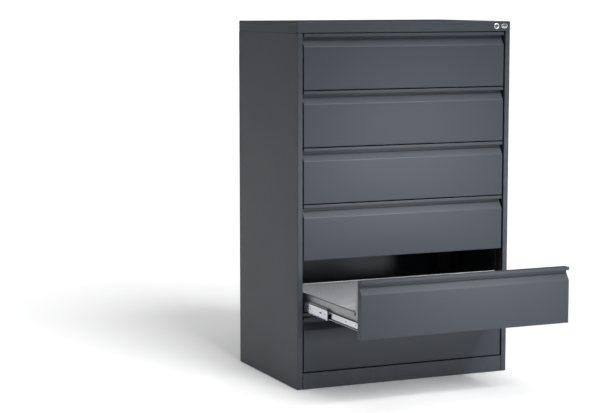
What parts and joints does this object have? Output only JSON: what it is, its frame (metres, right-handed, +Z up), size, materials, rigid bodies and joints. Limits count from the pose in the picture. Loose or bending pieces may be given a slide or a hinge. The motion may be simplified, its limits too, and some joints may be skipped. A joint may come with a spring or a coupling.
{
  "type": "drawer cabinet",
  "caption": "Tall painted steel file cabinet with full-width drawers on telescopic slides, one of them open, and a cylinder lock in the top cover.",
  "frame": {"origin": "on the floor, at the middle of the whole footprint at rest, the open drawer included", "axes": "+Z up, the drawers open towards -Y, +X to the right for someone facing the fronts"},
  "size_m": [0.885, 1.0628, 1.357],
  "materials": {
    "painted_steel": "fine-textured satin powder coat, slate grey",
    "galvanised_steel": "plain galvanised sheet, soft grey with a faint spangle",
    "bright_zinc": "bright zinc-plated slide members",
    "chrome": "polished",
    "black_plastic": "matt moulded plastic"
  },
  "bodies": {
    "carcass": {"side_panel_left": "painted_steel", "side_panel_right": "painted_steel", "top_cover": "painted_steel", "back_panel": "painted_steel", "base": "painted_steel", "rail_1_left": "bright_zinc", "rail_1_right": "bright_zinc", "rail_2_left": "bright_zinc", "rail_2_right": "bright_zinc", "rail_3_left": "bright_zinc", "rail_3_right": "bright_zinc", "rail_4_left": "bright_zinc", "rail_4_right": "bright_zinc", "rail_5_left": "bright_zinc", "rail_5_right": "bright_zinc", "rail_6_left": "bright_zinc", "rail_6_right": "bright_zinc", "lock_housing": "chrome"},
    "drawer_1": {"drawer_1_front": "painted_steel", "drawer_1_tray": "galvanised_steel", "slide_1_left": "bright_zinc", "slide_1_right": "bright_zinc"},
    "runners_1": {"runner_1_left": "bright_zinc", "runner_1_right": "bright_zinc"},
    "drawer_2": {"drawer_2_front": "painted_steel", "drawer_2_tray": "galvanised_steel", "slide_2_left": "bright_zinc", "slide_2_right": "bright_zinc"},
    "runners_2": {"runner_2_left": "bright_zinc", "runner_2_right": "bright_zinc"},
    "drawer_3": {"drawer_3_front": "painted_steel", "drawer_3_tray": "galvanised_steel", "slide_3_left": "bright_zinc", "slide_3_right": "bright_zinc"},
    "runners_3": {"runner_3_left": "bright_zinc", "runner_3_right": "bright_zinc"},
    "drawer_4": {"drawer_4_front": "painted_steel", "drawer_4_tray": "galvanised_steel", "slide_4_left": "bright_zinc", "slide_4_right": "bright_zinc"},
    "runners_4": {"runner_4_left": "bright_zinc", "runner_4_right": "bright_zinc"},
    "drawer_5": {"drawer_5_front": "painted_steel", "drawer_5_tray": "galvanised_steel", "slide_5_left": "bright_zinc", "slide_5_right": "bright_zinc"},
    "runners_5": {"runner_5_left": "bright_zinc", "runner_5_right": "bright_zinc"},
    "drawer_6": {"drawer_6_front": "painted_steel", "drawer_6_tray": "galvanised_steel", "slide_6_left": "bright_zinc", "slide_6_right": "bright_zinc"},
    "runners_6": {"runner_6_left": "bright_zinc", "runner_6_right": "bright_zinc"},
    "lock_plug": {"lock_plug": "chrome"},
    "lock_bar": {"lock_bar": "galvanised_steel"},
    "foot_front_left": {"foot_front_left": "black_plastic"},
    "foot_back_left": {"foot_back_left": "black_plastic"},
    "foot_front_right": {"foot_front_right": "black_plastic"},
    "foot_back_right": {"foot_back_right": "black_plastic"}
  },
  "joints": [
    {"name": "drawer_1_slide", "type": "slide", "parent": "carcass", "child": "drawer_1", "axis": [0, -1, 0], "range_m": [0, 0.49]},
    {"name": "runners_1_slide", "type": "slide", "parent": "carcass", "child": "runners_1", "axis": [0, -1, 0], "range_m": [0, 0.245]},
    {"name": "drawer_2_slide", "type": "slide", "parent": "carcass", "child": "drawer_2", "axis": [0, -1, 0], "range_m": [0, 0.49]},
    {"name": "runners_2_slide", "type": "slide", "parent": "carcass", "child": "runners_2", "axis": [0, -1, 0], "range_m": [0, 0.245]},
    {"name": "drawer_3_slide", "type": "slide", "parent": "carcass", "child": "drawer_3", "axis": [0, -1, 0], "range_m": [0, 0.49]},
    {"name": "runners_3_slide", "type": "slide", "parent": "carcass", "child": "runners_3", "axis": [0, -1, 0], "range_m": [0, 0.245]},
    {"name": "drawer_4_slide", "type": "slide", "parent": "carcass", "child": "drawer_4", "axis": [0, -1, 0], "range_m": [0, 0.49]},
    {"name": "runners_4_slide", "type": "slide", "parent": "carcass", "child": "runners_4", "axis": [0, -1, 0], "range_m": [0, 0.245]},
    {"name": "drawer_5_slide", "type": "slide", "parent": "carcass", "child": "drawer_5", "axis": [0, -1, 0], "range_m": [-0.49, 0]},
    {"name": "runners_5_slide", "type": "slide", "parent": "carcass", "child": "runners_5", "axis": [0, -1, 0], "range_m": [-0.245, 0]},
    {"name": "drawer_6_slide", "type": "slide", "parent": "carcass", "child": "drawer_6", "axis": [0, -1, 0], "range_m": [0, 0.49]},
    {"name": "runners_6_slide", "type": "slide", "parent": "carcass", "child": "runners_6", "axis": [0, -1, 0], "range_m": [0, 0.245]},
    {"name": "lock_turn", "type": "hinge", "parent": "carcass", "child": "lock_plug", "pos_m": [0.3825, -0.04365, 1.3385], "axis": [0, -1, 0], "range_deg": [0, 90]},
    {"name": "lock_bar_lift", "type": "slide", "parent": "carcass", "child": "lock_bar", "axis": [0, 0, 1], "range_m": [0, 0.008]},
    {"name": "foot_front_left_level", "type": "slide", "parent": "carcass", "child": "foot_front_left", "axis": [0, 0, -1], "range_m": [0, 0.012]},
    {"name": "foot_back_left_level", "type": "slide", "parent": "carcass", "child": "foot_back_left", "axis": [0, 0, -1], "range_m": [0, 0.012]},
    {"name": "foot_front_right_level", "type": "slide", "parent": "carcass", "child": "foot_front_right", "axis": [0, 0, -1], "range_m": [0, 0.012]},
    {"name": "foot_back_right_level", "type": "slide", "parent": "carcass", "child": "foot_back_right", "axis": [0, 0, -1], "range_m": [0, 0.012]}
  ],
  "couplings": [
    {"joint": "runners_1_slide", "follows": "drawer_1_slide", "ratio": 0.5},
    {"joint": "runners_2_slide", "follows": "drawer_2_slide", "ratio": 0.5},
    {"joint": "runners_3_slide", "follows": "drawer_3_slide", "ratio": 0.5},
    {"joint": "runners_4_slide", "follows": "drawer_4_slide", "ratio": 0.5},
    {"joint": "runners_5_slide", "follows": "drawer_5_slide", "ratio": 0.5},
    {"joint": "runners_6_slide", "follows": "drawer_6_slide", "ratio": 0.5},
    {"joint": "lock_turn", "follows": "lock_bar_lift", "rad_per_m": 196.25}
  ]
}
